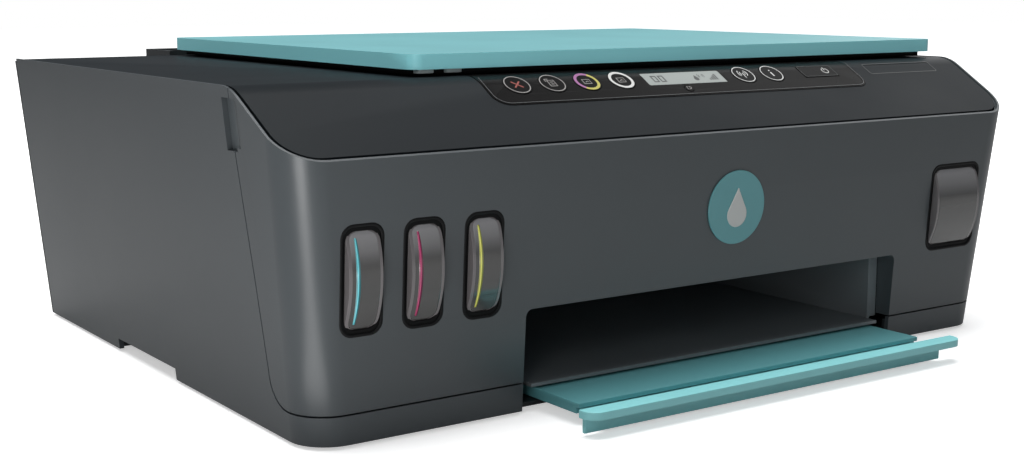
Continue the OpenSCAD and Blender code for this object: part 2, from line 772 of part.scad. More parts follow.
module usb_socket() {
    color(steel) translate([-173, 157.6, 34]) difference() {
        cube([12.4, 8.2, 11.4]);
        translate([1.6, 1.6, 1.6]) cube([9.2, 10, 8.2]);
    }
}

module power_module() {
    color(black) translate([140, 76, 4]) cube([58, 66, 48]);
}

module power_inlet() {
    color(black) translate([154.2, 142, 28.2]) difference() {
        cube([31.6, 24, 23.6]);
        translate([4, 8, 5]) cube([23.6, 20, 13.6]);
    }
    color(steel) for (x = [164, 174]) translate([x, 144, 39]) cube([2, 14, 2]);
}

// Ink tanks: body, window bulging through the front cover, filler neck and cap hinge
tank_top = 97;
neck_d = 12;
function tank_y0(z) = front_y(z) + wall + 1;
cap_y = -110;
cap_hinge = [-100, 100];
module tank(x, w, body_w0, tint) {
    color(tint) difference() {
        union() {
            side_prism(x - body_w0 / 2, x + body_w0 / 2, [[tank_y0(40), 40], [tank_y0(tank_top), tank_top],
                [-88, tank_top], [-88, 40]]);
            // Window that bulges out at mid height and falls back at its ends
            intersection() {
                window_slot(x, w, -2 * window_gap, -wall - 1.6, 10);
                on_front(x, window_mid_z) translate([-w / 2, 0, window_bulge - window_r])
                    rotate([0, 90, 0]) cylinder(r = window_r, h = w, $fn = 96);
            }
            translate([x, cap_y, tank_top - 1]) cylinder(d = neck_d, h = 3);
            for (s = [-1, 1]) translate([x + s * 6.5 - 1.5, cap_hinge[0] - 3, tank_top - 1]) cube([3, 6, 7]);
        }
        translate([x, cap_y, tank_top - 8]) cylinder(d = neck_d - 3, h = 20);
    }
    color(steel) x_rod(x - 7.8, x + 7.8, cap_hinge, 1.2);
}
tank_w = 26.6;
module tank_cyan() { tank(slim_window_x[0], slim_window_w, tank_w, "cyan"); }
module tank_magenta() { tank(slim_window_x[1], slim_window_w, tank_w, "magenta"); }
module tank_yellow() { tank(slim_window_x[2], slim_window_w, tank_w, "yellow"); }
module tank_black() { tank(wide_window_x, wide_window_w, 44, black); }

module cap(x, tint) {
    color(tint) difference() {
        union() {
            translate([x, cap_y, tank_top + 2.2]) cylinder(d = neck_d + 2, h = 3);
            translate([x, cap_y, tank_top + 0.8]) cylinder(d = neck_d - 3.8, h = 3);
            translate([x - 4.4, cap_y, tank_top + 2.2]) cube([8.8, cap_hinge[0] - cap_y, 3]);
            x_rod(x - 4.4, x + 4.4, cap_hinge, 2.6);
        }
        x_rod(x - 6, x + 6, cap_hinge, 1.2 + run_gap);
    }
}
module cap_cyan() { cap(slim_window_x[0], "cyan"); }
module cap_magenta() { cap(slim_window_x[1], "magenta"); }
module cap_yellow() { cap(slim_window_x[2], "yellow"); }
module cap_black() { cap(wide_window_x, black); }

base_chassis();
left_side_panel();
right_side_panel();
rear_panel();
front_cover();
exit_bay();
rear_feeder();
rubber_feet();
case_screws();
badge();
mech_frame();
guide_rod();
encoder_strip();
carriage_belt();
carriage_motor();
feed_motor();
feed_pinion();
main_board();
power_module();
power_inlet();
usb_socket();
platen();
service_station();
tank_cyan();
tank_magenta();
tank_yellow();
tank_black();
scanner_base();
scanner_deck();
scanner_glass();
scan_rail();
control_panel();
lcd_display();
scan_head();
lid_cover();
lid_pad();
key_cancel();
key_copy_id();
key_copy_colour();
key_copy_black();
key_wireless();
key_info();
key_resume();
key_power();
output_tray();
tray_extender();
paper_support();
paper_guide_left();
paper_guide_right();
carriage();
print_heads();
drive_pulley();
feed_roller();
exit_roller();
idler_gear();
pick_roller();
cap_cyan();
cap_magenta();
cap_yellow();
cap_black();
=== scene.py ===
"""Ink tank printer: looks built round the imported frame. Metres, Z up."""
import json
import math

import bmesh
import bpy
from mathutils import Matrix, Vector


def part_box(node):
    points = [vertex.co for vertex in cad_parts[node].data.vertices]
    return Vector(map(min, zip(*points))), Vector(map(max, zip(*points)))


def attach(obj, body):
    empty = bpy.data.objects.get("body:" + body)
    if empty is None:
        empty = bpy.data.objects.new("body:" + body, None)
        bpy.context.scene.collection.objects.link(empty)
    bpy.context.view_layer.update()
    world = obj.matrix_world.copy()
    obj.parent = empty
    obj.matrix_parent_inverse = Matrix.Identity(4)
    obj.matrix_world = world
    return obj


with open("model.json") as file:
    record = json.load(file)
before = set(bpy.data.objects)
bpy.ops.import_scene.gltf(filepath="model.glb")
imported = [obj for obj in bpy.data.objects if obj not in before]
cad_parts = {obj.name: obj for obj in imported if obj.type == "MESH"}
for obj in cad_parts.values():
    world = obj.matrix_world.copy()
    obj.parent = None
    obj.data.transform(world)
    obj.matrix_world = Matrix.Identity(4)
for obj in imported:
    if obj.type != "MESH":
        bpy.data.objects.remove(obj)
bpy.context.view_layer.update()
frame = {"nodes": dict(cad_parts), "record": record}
MM = 0.001


# ---- node helpers ----

def node_group(m, kind, **values):
    n = m.node_tree.nodes.new(kind)
    for key, value in values.items():
        if hasattr(n, key):
            setattr(n, key, value)
        else:
            n.inputs[key].default_value = value
    return n


def map_range(m, source, span, result):
    """Maps a socket's values from span to result, and gives the new socket."""
    n = node_group(m, "ShaderNodeMapRange", **{"From Min": span[0], "From Max": span[1],
                                               "To Min": result[0], "To Max": result[1]})
    m.node_tree.links.new(source, n.inputs["Value"])
    return n.outputs["Result"]


def camera_or_else(m, seen, unseen):
    """Mixes two shaders: one for what the camera sees directly, one for all other rays."""
    link = m.node_tree.links.new
    ray, mix = node_group(m, "ShaderNodeLightPath"), node_group(m, "ShaderNodeMixShader")
    link(ray.outputs["Is Camera Ray"], mix.inputs[0])
    link(unseen.outputs[0], mix.inputs[1])
    link(seen.outputs[0], mix.inputs[2])
    return mix.outputs[0]


# ---- camera, floor and light ----

LENS_MM, SENSOR_MM = 52.465, 36
CAMERA_AT = (-0.4756, -0.6832, 0.18765)
CAMERA_TILT, CAMERA_HEADING = math.radians(80.628), math.radians(-34.87)
FLOOR_SIZE, FLOOR_Z = 12, -0.0005
STRIP_Z, STRIP_TURN = 0.003, math.radians(-45)
WHITE = (1, 1, 1, 1)


def make_camera():
    data = bpy.data.cameras.new("camera")
    data.lens, data.sensor_width = LENS_MM, SENSOR_MM
    data.clip_end = 20
    cam = bpy.data.objects.new("camera", data)
    cam.location = CAMERA_AT
    cam.rotation_euler = (CAMERA_TILT, 0, CAMERA_HEADING)
    bpy.context.collection.objects.link(cam)
    bpy.context.scene.camera = cam


def area_light(name, place, aim, size, power):
    data = bpy.data.lights.new(name, "AREA")
    data.shape = "RECTANGLE"
    data.size, data.size_y = size
    data.energy = power
    lamp = bpy.data.objects.new(name, data)
    lamp.location = place
    lamp.rotation_euler = (Vector(aim) - Vector(place)).to_track_quat("-Z", "Y").to_euler()
    bpy.context.collection.objects.link(lamp)
    return lamp


def make_floor():
    bpy.ops.mesh.primitive_plane_add(size=FLOOR_SIZE, location=(0, 0, FLOOR_Z))
    floor = bpy.context.object
    floor.name = "floor"
    m = bpy.data.materials.new("floor_white")
    m.use_nodes = True
    link = m.node_tree.links.new
    unseen = m.node_tree.nodes["Principled BSDF"]
    unseen.inputs["Roughness"].default_value = 0.7
    seen = node_group(m, "ShaderNodeBsdfPrincipled", **{
        "Base Color": (0.8, 0.8, 0.8, 1), "Roughness": 0.8, "Emission Color": WHITE})
    # Near the printer the floor takes soft contact shadows; further out it is plain white
    place = node_group(m, "ShaderNodeTexCoord")
    reach = node_group(m, "ShaderNodeVectorMath", operation="LENGTH")
    link(place.outputs["Object"], reach.inputs[0])
    link(map_range(m, reach.outputs["Value"], (0.45, 1), (0.5, 1)), seen.inputs["Emission Strength"])
    # What the printer sees of the floor is greyer on its left, as beside a dark screen
    axes = node_group(m, "ShaderNodeSeparateXYZ")
    link(place.outputs["Object"], axes.inputs[0])
    link(map_range(m, axes.outputs["X"], (-0.5, -0.2), (0.3, 0.5)), unseen.inputs["Base Color"])
    link(camera_or_else(m, seen, unseen), m.node_tree.nodes["Material Output"].inputs[0])
    floor.data.materials.append(m)


def make_world():
    """White behind the printer for the camera, dim and slightly blue for everything else."""
    world = bpy.data.worlds.new("studio")
    world.use_nodes = True
    dim = world.node_tree.nodes["Background"]
    dim.inputs[0].default_value = (0.9, 0.95, 1, 1)
    dim.inputs[1].default_value = 0.15
    backdrop = node_group(world, "ShaderNodeBackground", Color=WHITE)
    world.node_tree.links.new(camera_or_else(world, backdrop, dim),
                              world.node_tree.nodes["World Output"].inputs[0])
    bpy.context.scene.world = world
    bpy.context.scene.view_settings.view_transform = "Standard"


def make_lights():
    area_light("top_soft", (-0.3, 0.2, 2.4), (0, 0.1, 0), (1.6, 2.2), 82)
    area_light("left_side", (-2.0, -0.3, 0.9), (-0.1, 0, 0.1), (0.8, 0.8), 0.05)
    area_light("corner_fill", (-0.9, -0.95, 0.5), (-0.21, -0.16, 0.07), (0.3, 0.6), 2.4)
    area_light("deck_sheen", (3.5, 1.4, 2.2), (0.05, -0.14, 0.13), (3.0, 3.0), 34)
    # Strips on the floor that the overhanging front corner mirrors as an upright highlight
    for tag, x, y, size, power in (("far", -0.54, -0.47, (0.15, 0.36), 2.2),
                                   ("near", -0.32, -0.26, (0.07, 0.24), 0.16)):
        strip = area_light("floor_strip_" + tag, (x, y, STRIP_Z), (0, 0, 1), size, power)
        strip.rotation_euler = (math.pi, 0, STRIP_TURN)
        strip.visible_camera = False


make_camera()
make_floor()
make_world()
make_lights()


# ---- materials ----

def moulded(name, colour, rough=0.4, grain=900, depth=0.00004, mottle=0.06, coat=0.0,
            metallic=0.0, specular=0.5, stretch=(1, 1, 1), rough_var=0.08):
    """Moulded plastic or metal: slight colour and gloss variation, fine grain, lighter colour on sharp
    edges.
    """
    m = bpy.data.materials.new(name)
    m.use_nodes = True
    link = m.node_tree.links.new
    b = m.node_tree.nodes["Principled BSDF"]
    b.inputs["Metallic"].default_value = metallic
    b.inputs["Coat Weight"].default_value = coat
    b.inputs["Coat Roughness"].default_value = 0.06
    b.inputs["Specular IOR Level"].default_value = specular
    coords = node_group(m, "ShaderNodeTexCoord")
    mapping = node_group(m, "ShaderNodeMapping", Scale=stretch)
    link(coords.outputs["Object"], mapping.inputs["Vector"])
    cloud = node_group(m, "ShaderNodeTexNoise", Scale=14.0, Detail=4.0)
    fine = node_group(m, "ShaderNodeTexNoise", Scale=float(grain), Detail=2.0)
    for n in (cloud, fine):
        link(mapping.outputs["Vector"], n.inputs["Vector"])
    tone = node_group(m, "ShaderNodeValToRGB")
    low = [max(0, c * (1 - mottle)) for c in colour]
    high = [min(1, c * (1 + mottle)) for c in colour]
    tone.color_ramp.elements[0].position = 0.3
    tone.color_ramp.elements[1].position = 0.7
    tone.color_ramp.elements[0].color = (*low, 1)
    tone.color_ramp.elements[1].color = (*high, 1)
    link(cloud.outputs["Fac"], tone.inputs["Fac"])
    # Colour is lightened where mesh edges are sharp, read from pointiness
    geo = node_group(m, "ShaderNodeNewGeometry")
    sharp_edge_tint = node_group(m, "ShaderNodeMix", data_type="RGBA")
    sharp_edge_tint.inputs[7].default_value = (*[min(1, c * 1.5 + 0.02) for c in colour], 1)
    link(map_range(m, geo.outputs["Pointiness"], (0.515, 0.6), (0, 0.35)), sharp_edge_tint.inputs[0])
    link(tone.outputs["Color"], sharp_edge_tint.inputs[6])
    link(sharp_edge_tint.outputs[2], b.inputs["Base Color"])
    gloss = map_range(m, cloud.outputs["Fac"], (0, 1), (rough - rough_var, rough + rough_var))
    link(gloss, b.inputs["Roughness"])
    bump = node_group(m, "ShaderNodeBump", Strength=0.35, Distance=depth)
    link(fine.outputs["Fac"], bump.inputs["Height"])
    link(bump.outputs["Normal"], b.inputs["Normal"])
    return m


def srgb(r, g, b):
    return [((c / 255 + 0.055) / 1.055) ** 2.4 if c > 10 else c / 255 / 12.92 for c in (r, g, b)]


FINE = 0.00001
SLATE = srgb(66, 71, 74)
DECK = srgb(14, 20, 24)
TEAL = srgb(104, 164, 169)
MATERIALS = {
    "slate_shell": moulded("slate_shell", SLATE, 0.34, 1500, mottle=0.04, rough_var=0.04),
    "dark_deck": moulded("dark_deck", DECK, 0.44, 1500, mottle=0.06, specular=0.1),
    "dark_shell": moulded("dark_shell", srgb(34, 37, 39), 0.5, 1100),
    "teal": moulded("teal", TEAL, 0.4, 1500, mottle=0.03),
    "gloss_black": moulded("gloss_black", srgb(8, 7, 7), 0.26, 300, FINE, specular=0.04,
                           rough_var=0.04),
    "lcd": moulded("lcd", srgb(140, 146, 143), 0.3, 700, FINE, mottle=0.04),
    "white_pad": moulded("white_pad", srgb(228, 228, 222), 0.8, 700, 0.0002),
    "rubber": moulded("rubber", srgb(28, 28, 29), 0.85, 900, 0.0001),
    "steel": moulded("steel", srgb(190, 190, 194), 0.3, 700, metallic=1, stretch=(0.1, 1, 1)),
    "motor_steel": moulded("motor_steel", srgb(160, 160, 164), 0.35, 700, metallic=1, stretch=(1, 1, 0.1)),
    "black_plastic": moulded("black_plastic", srgb(20, 20, 21), 0.5, 1100),
    "circuit_board": moulded("circuit_board", srgb(24, 84, 52), 0.4, 400, mottle=0.25),
    "clear_film": moulded("clear_film", srgb(190, 190, 186), 0.2, 500, mottle=0.1),
    "belt": moulded("belt", srgb(22, 22, 23), 0.8, 1200),
    "roller_rubber": moulded("roller_rubber", srgb(52, 52, 54), 0.8, 1000, 0.0001),
    "gear_plastic": moulded("gear_plastic", srgb(222, 220, 210), 0.45, 900),
}
for ink, rgb in {"cyan": (20, 150, 180), "magenta": (170, 30, 100), "yellow": (205, 195, 40),
                 "black": (30, 30, 32)}.items():
    MATERIALS["tank_" + ink] = moulded("tank_" + ink, srgb(104, 100, 101), 0.2, 500, coat=0.6)
    MATERIALS["cap_" + ink] = moulded("cap_" + ink, srgb(*rgb), 0.4, 900)


def glass_material():
    """Clear pane of the scanner bed."""
    m = moulded("scanner_glass", srgb(150, 170, 170), 0.05, 200, 0.000005, rough_var=0.02)
    b = m.node_tree.nodes["Principled BSDF"]
    b.inputs["Transmission Weight"].default_value = 0.9
    b.inputs["IOR"].default_value = 1.5
    return m


MATERIALS["glass"] = glass_material()


# ---- the CAD nodes keep their shapes and get bevels and materials ----

SLOT = {s["node"]: s["material_slot"] for s in frame["record"]["subparts"]}
FINE_BEVEL = {"front_cover": 0.0006, "left_side_panel": 0.0006, "right_side_panel": 0.0006,
              "scanner_deck": 0.0005, "lid_cover": 0.0009}
PLAIN_BEVEL = 0.0003


def paint_side_light(m, factor):
    """Paints light and shade into the base colour: upright faces, which catch other light than the top, get
    their tone scaled by factor.
    """
    link = m.node_tree.links.new
    b = m.node_tree.nodes["Principled BSDF"]
    tone = b.inputs["Base Color"].links[0].from_socket
    facing, up = node_group(m, "ShaderNodeNewGeometry"), node_group(m, "ShaderNodeSeparateXYZ")
    link(facing.outputs["True Normal"], up.inputs[0])
    # Painted light: the colour of upright faces is scaled by factor in place of the light they catch
    lift = node_group(m, "ShaderNodeVectorMath", operation="SCALE")
    link(tone, lift.inputs[0])
    link(map_range(m, up.outputs["Z"], (0.2, 0.9), (factor, 1)), lift.inputs["Scale"])
    link(lift.outputs["Vector"], b.inputs["Base Color"])
    return m


OWN_LOOK = {
    # Painted light: the recessed exit bay gets a light grey that stands in for light reaching its shaded
    # inside
    "exit_bay": moulded("bay_painted_light", srgb(112, 117, 120), 0.36, 900),
    # Painted light: the lid's upright sides get twice the colour of its top
    "lid_cover": paint_side_light(moulded("lid_teal", srgb(105, 163, 168), 0.44, 1500, mottle=0.03), 2.0),
    # Painted light: the bar is lighter than the teal to make up for its top being in less light, and its
    # sides are darkened
    "tray_extender": paint_side_light(moulded("bar_teal_painted_light", srgb(140, 210, 214), 0.34, 1500, mottle=0.03), 0.85),
    # Painted light: a slate lighter than the shell, for the sheets that lift the shade in the finger notch
    # pockets
    "notch": moulded("notch_painted_light", srgb(70, 76, 79), 0.4, 1500, mottle=0.04),
    "badge": moulded("badge_teal", srgb(90, 146, 151), 0.35, 1500, mottle=0.03),
    "output_tray": moulded("plate_teal", srgb(90, 150, 155), 0.42, 1500, mottle=0.03),
}


def dress(name, obj):
    """Gives a CAD node its material, and evens out its facets under a fine bevel."""
    obj.data.materials.clear()
    obj.data.materials.append(OWN_LOOK.get(name, MATERIALS[SLOT[name]]))
    weld = obj.modifiers.new("weld", "WELD")
    weld.merge_threshold = 0.00001
    flat = obj.modifiers.new("flat", "DECIMATE")
    flat.decimate_type = "DISSOLVE"
    flat.angle_limit = math.radians(0.5)
    bevel = obj.modifiers.new("bevel", "BEVEL")
    bevel.width = FINE_BEVEL.get(name, PLAIN_BEVEL)
    bevel.segments = 2
    bevel.limit_method = "ANGLE"
    bevel.angle_limit = math.radians(40)
    for p in obj.data.polygons:
        p.use_smooth = True
    normals = obj.modifiers.new("normals", "WEIGHTED_NORMAL")
    normals.keep_sharp = True


for name, obj in frame["nodes"].items():
    dress(name, obj)


# ---- places on the object, worked out from the frame ----

SLOPE_RISE, SLOPE_RUN = 28, 46.6
SLOPE = math.atan2(SLOPE_RISE, SLOPE_RUN)
LEAN = math.radians(3.8)
SIDE_LEAN = math.radians(5.44)
FASCIA_Z = 120 * MM
REACH = -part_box("front_cover")[0][1]


def on_slope(x, v, out=0.0):
    """Frame on the deck's slope: x across, y up the slope, z out of it. Millimetres in."""
    turn = Matrix.Rotation(SLOPE, 4, "X")
    return (Matrix.Translation((0, -REACH, FASCIA_Z)) @ turn
            @ Matrix.Translation((x * MM, v * MM, out * MM)))


def on_front(x, z, out=0.0):
    """Frame on the leaning front face: x across, y up, z out of it. Millimetres in."""
    y = -REACH + (FASCIA_Z - z * MM) * math.tan(LEAN)
    return (Matrix.Translation((x * MM, y, z * MM)) @ Matrix.Rotation(math.pi / 2 + LEAN, 4, "X")
            @ Matrix.Translation((0, 0, out * MM)))


def arc(cx, cy, r, a0, a1, n=8):
    return [(cx + r * math.cos(math.radians(a0 + (a1 - a0) * i / n)),
             cy + r * math.sin(math.radians(a0 + (a1 - a0) * i / n))) for i in range(n + 1)]


def round_rect(w, h, r, n=6):
    x, y = w / 2 - r, h / 2 - r
    return (arc(x, y, r, 0, 90, n) + arc(-x, y, r, 90, 180, n)
            + arc(-x, -y, r, 180, 270, n) + arc(x, -y, r, 270, 360, n))


def add_piece(name, bm, mat, body, smooth=True):
    mesh = bpy.data.meshes.new(name)
    bmesh.ops.recalc_face_normals(bm, faces=bm.faces)
    bm.to_mesh(mesh)
    bm.free()
    obj = bpy.data.objects.new(name, mesh)
    bpy.context.collection.objects.link(obj)
    mesh.materials.append(mat)
    for p in mesh.polygons:
        p.use_smooth = smooth
    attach(obj, body)
    return obj


def soften(obj, width, segments=3, angle=35):
    bevel = obj.modifiers.new("bevel", "BEVEL")
    bevel.width = width * MM
    bevel.segments = segments
    bevel.limit_method = "ANGLE"
    bevel.angle_limit = math.radians(angle)
    obj.modifiers.new("normals", "WEIGHTED_NORMAL").keep_sharp = True


def extrude(bm, frame_at, outline, z0, z1):
    """Adds a closed prism: the outline, in mm, from height z0 to z1 in the given frame."""
    low = [bm.verts.new(frame_at @ Vector((x * MM, y * MM, z0 * MM))) for x, y in outline]
    top = [bm.verts.new(frame_at @ Vector((x * MM, y * MM, z1 * MM))) for x, y in outline]
    n = len(outline)
    bm.faces.new(list(reversed(low)))
    bm.faces.new(top)
    for i in range(n):
        j = (i + 1) % n
        bm.faces.new((low[i], low[j], top[j], top[i]))


def extrude_ring(bm, frame_at, outer, inner, z0, z1):
    """Adds a closed ring between two outlines with the same number of points."""
    n = len(outer)
    rows = [[bm.verts.new(frame_at @ Vector((x * MM, y * MM, z * MM))) for x, y in line]
            for line, z in ((outer, z0), (outer, z1), (inner, z1), (inner, z0))]
    for a in range(4):
        b = (a + 1) % 4
        for i in range(n):
            j = (i + 1) % n
            bm.faces.new((rows[a][i], rows[a][j], rows[b][j], rows[b][i]))


def ribbon(bm, frame_at, points, width, z0, z1):
    """Adds a flat line of the given width through points."""
    left, right = [], []
    for i, (x, y) in enumerate(points):
        px, py = points[max(i - 1, 0)]
        qx, qy = points[min(i + 1, len(points) - 1)]
        d = math.hypot(qx - px, qy - py) or 1
        nx, ny = -(qy - py) / d * width / 2, (qx - px) / d * width / 2
        left.append((x + nx, y + ny))
        right.append((x - nx, y - ny))
    extrude(bm, frame_at, left + right[::-1], z0, z1)


# ---- control panel: printed rings, symbols and outline ----

INK = {
    "white": moulded("print_white", srgb(186, 186, 184), 0.35, 900, FINE),
    "grey": moulded("print_grey", srgb(132, 129, 127), 0.35, 900, FINE),
    "red": moulded("print_red", srgb(130, 52, 42), 0.35, 900, FINE),
    "magenta": moulded("print_magenta", srgb(142, 84, 134), 0.35, 900, FINE),
    "yellow": moulded("print_yellow", srgb(168, 160, 70), 0.35, 900, FINE),
    "pale": moulded("bumper_pale", srgb(190, 200, 200), 0.5, 900),
    "line": moulded("print_line", srgb(60, 62, 63), 0.35, 900, FINE),
    "dark": moulded("print_dark", srgb(48, 50, 50), 0.4, 900, FINE),
}
KEY_TOP = 0.1
PRINT_T = 0.06
LCD_PRINT_T = 0.05
THIN_RING, WIDE_RING = (6.1, 6.6), (5.2, 6.7)
POWER_MARK_X = 5.8
PANEL_FOOT, PANEL_HEAD, PANEL_CORNER, PANEL_INSET = 31, 53, 7, 1.1


def key_centre(node):
    """Middle of a key in slope millimetres (x, v), from its CAD box."""
    lo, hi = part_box(node)
    mid = (Vector(lo) + Vector(hi)) / 2
    local = on_slope(0, 0).inverted() @ mid
    return local.x / MM, local.y / MM


def print_on_key(node, colour, draw, tag):
    x, v = key_centre(node)
    bm = bmesh.new()
    draw(bm, on_slope(x, v, KEY_TOP))
    add_piece(f"{node}_{tag}", bm, INK[colour], node, smooth=False)


def ring_of(r0, r1, a0=0, a1=360):
    def draw(bm, at):
        if a1 - a0 == 360:
            extrude_ring(bm, at, arc(0, 0, r1, 0, 360, 47)[:-1], arc(0, 0, r0, 0, 360, 47)[:-1], 0, PRINT_T)
        else:
            ribbon(bm, at, arc(0, 0, (r0 + r1) / 2, a0, a1, 24), r1 - r0, 0, PRINT_T)
    return draw


def lines(*runs, width=0.55):
    def draw(bm, at):
        for run in runs:
            ribbon(bm, at, run, width, 0, PRINT_T)
    return draw


def box_line(x, y, w, h):
    return [(x, y), (x + w, y), (x + w, y + h), (x, y + h), (x, y - 0.2)]


print_on_key("key_cancel", "grey", ring_of(*THIN_RING), "ring")
print_on_key("key_cancel", "red", lines([(-2.3, -2.3), (2.3, 2.3)], [(-2.3, 2.3), (2.3, -2.3)],
                                        width=0.8), "cross")
print_on_key("key_copy_id", "grey", ring_of(*THIN_RING), "ring")
print_on_key("key_copy_id", "grey", lines(box_line(-2, -2.4, 3.6, 4.6), [(-3, 1.2), (-3, 3.2), (-1, 3.2)],
                                          [(-1, 0.8), (0.8, 0.8)], [(-1, -0.8), (0.8, -0.8)],
                                          width=0.45), "sheet")
for tint, a0, a1 in (("magenta", 60, 235), ("yellow", 235, 420)):
    print_on_key("key_copy_colour", tint, ring_of(*WIDE_RING, a0, a1), "ring_" + tint)
print_on_key("key_copy_black", "white", ring_of(*WIDE_RING), "ring")
for node in ("key_copy_colour", "key_copy_black"):
    print_on_key(node, "grey", lines(box_line(-2.2, -1.8, 4.2, 3.4), [(-1, -0.6), (0.4, 0.2), (1, -0.6)],
                                     width=0.45), "sheet")
print_on_key("key_wireless", "white", ring_of(*THIN_RING), "ring")
print_on_key("key_wireless", "white", lines(
    arc(0, 1, 1.6, 130, 230, 8), arc(0, 1, 2.9, 130, 230, 8), arc(0, 1, 1.6, -50, 50, 8),
    arc(0, 1, 2.9, -50, 50, 8), [(0, 1.2), (0, -3)], width=0.5), "mast")
print_on_key("key_info", "white", ring_of(*THIN_RING), "ring")
print_on_key("key_info", "white", lines([(0, -2.6), (0, 0.9)], [(0, 2), (0, 2.9)], width=0.9), "mark")
print_on_key("key_resume", "grey", lines(
    box_line(-1, -1, 1.7, 2), arc(0.6, 0.2, 1, -80, 80, 6), width=0.3), "mark")


def power_marks():
    x, v = key_centre("key_power")
    bm = bmesh.new()
    at = on_slope(x + POWER_MARK_X, v, KEY_TOP)
    ribbon(bm, at, arc(0, 0, 2.1, 120, 420, 24), 0.5, 0, PRINT_T)
    ribbon(bm, at, [(0, 0.4), (0, 2.9)], 0.5, 0, PRINT_T)
    add_piece("key_power_mark", bm, INK["white"], "key_power", smooth=False)
    bm = bmesh.new()
    rim = on_slope(x, v, KEY_TOP)
    extrude_ring(bm, rim, round_rect(24.2, 9.3, 1), round_rect(23.7, 8.8, 0.8), 0, PRINT_T)
    add_piece("key_power_rim", bm, INK["dark"], "key_power", smooth=False)


power_marks()


def panel_outline():
    """Thin printed line just inside the panel's edge."""
    lo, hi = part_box("control_panel")
    x0, x1 = lo[0] / MM + PANEL_INSET, hi[0] / MM - PANEL_INSET
    r, mid_v = PANEL_CORNER, PANEL_FOOT + PANEL_INSET + PANEL_CORNER
    run = ([(x0, PANEL_HEAD)] + arc(x0 + r, mid_v, r, 180, 270) + arc(x1 - r, mid_v, r, 270, 360)
           + [(x1, PANEL_HEAD)])
    bm = bmesh.new()
    ribbon(bm, on_slope(0, 0, KEY_TOP), run, 0.35, -0.02, 0.05)
    add_piece("panel_outline", bm, INK["line"], "scanner_unit", smooth=False)


panel_outline()


def lcd_marks():
    lo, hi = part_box("lcd_display")
    mid = (Vector(lo) + Vector(hi)) / 2
    local = on_slope(0, 0).inverted() @ mid
    at = on_slope(local.x / MM, local.y / MM, -0.32)
    bm = bmesh.new()
    for x in (-20.5, -16):
        extrude_ring(bm, at, [(x, -2.6), (x + 3.4, -2.6), (x + 3.4, 2.8), (x, 2.8)],
                     [(x + 0.8, -1.8), (x + 2.6, -1.8), (x + 2.6, 2), (x + 0.8, 2)], 0, LCD_PRINT_T)
    for i in range(4):
        x = 15.6 + i * 1.5
        extrude(bm, at, [(x, -2.6), (x + 1, -2.6), (x + 1, -1.4 + i * 1.2), (x, -1.4 + i * 1.2)],
                0, LCD_PRINT_T)
    for r in (1.1, 2):
        ribbon(bm, at, arc(11.5, 1.2, r, -45, 45, 6), 0.35, 0, LCD_PRINT_T)
        ribbon(bm, at, arc(11.5, 1.2, r, 135, 225, 6), 0.35, 0, LCD_PRINT_T)
    drop = arc(7.4, -1.1, 1.5, -205, 25, 12) + [(7.4, 2)]
    extrude(bm, at, drop, 0, LCD_PRINT_T)
    add_piece("lcd_marks", bm, INK["dark"], "scanner_unit", smooth=False)


lcd_marks()


# ---- blank nameplate outline on the slope, and slate sheets of painted light in the finger notches ----

def nameplate():
    bm = bmesh.new()
    at = on_slope(173, 46.2, -0.3)
    extrude_ring(bm, at, round_rect(54, 9.4, 1.5), round_rect(53, 8.4, 1.1), -0.1, 0.08)
    add_piece("nameplate_outline", bm, INK["dark"], "scanner_unit", smooth=False)


nameplate()


def notch_light_sheet(tag, side):
    """Slate sheet of painted light just behind the opening at the side panel's front edge, lifting the
    shaded pocket.
    """
    lo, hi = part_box(tag + "_side_panel")
    lean = Matrix.Rotation(side * SIDE_LEAN, 4, "Y")
    edge = hi[0] if side > 0 else lo[0]
    at = Matrix.Translation((edge - side * 4.3 * MM, -117 * MM, 132 * MM)) @ lean
    bm = bmesh.new()
    extrude(bm, at, [(-0.35, -4.9), (0.35, -4.9), (0.35, 4.9), (-0.35, 4.9)], -10.9, 10.9)
    add_piece(f"notch_light_sheet_{tag}", bm, OWN_LOOK["notch"], "printer_body", smooth=False)


notch_light_sheet("left", -1)
notch_light_sheet("right", 1)


# ---- ink windows: smoky lenses over a level stripe, in a black rim ----

WINDOW_Z = (48, 93)
WINDOW_GAP = 1.9
WINDOW_R = 45
WINDOW_BULGE = 4
WINDOW_AT = {"cyan": (-187, 18), "magenta": (-157.7, 18), "yellow": (-127.9, 18), "black": (177.8, 36.5)}
STRIPE = {"cyan": (96, 190, 200), "magenta": (170, 52, 100), "yellow": (214, 214, 100)}


def smoky(name):
    """Translucent smoked plastic, lighter towards the top where the tank is empty."""
    m = moulded(name, srgb(108, 107, 108), 0.2, 400, FINE, coat=1.0, rough_var=0.04)
    link = m.node_tree.links.new
    height = node_group(m, "ShaderNodeSeparateXYZ")
    geo = node_group(m, "ShaderNodeTexCoord")
    link(geo.outputs["Object"], height.inputs[0])
    shade = node_group(m, "ShaderNodeValToRGB")
    stops = [(0.0, (66, 65, 64)), (0.35, (52, 52, 51)), (0.62, (66, 65, 64)), (0.78, (118, 117, 118)),
             (1.0, (150, 149, 151))]
    ramp = shade.color_ramp
    while len(ramp.elements) < len(stops):
        ramp.elements.new(0.5)
    for element, (place, rgb) in zip(ramp.elements, stops):
        element.position = place
        element.color = (*srgb(*rgb), 1)
    span = (WINDOW_Z[0] * MM, WINDOW_Z[1] * MM)
    link(map_range(m, height.outputs["Z"], span, (0, 1)), shade.inputs["Fac"])
    link(shade.outputs["Color"], m.node_tree.nodes["Principled BSDF"].inputs["Base Color"])
    return m


SMOKE = smoky("smoky_window")
# Black of the window rims, also used for the ring of painted shade under the lid
BLACK_RIM_AND_SHADE = moulded("window_rim", srgb(5, 5, 6), 0.5, 900, 0.00002, specular=0.12)


def bulge(y):
    return WINDOW_BULGE - WINDOW_R + math.sqrt(WINDOW_R ** 2 - y * y)


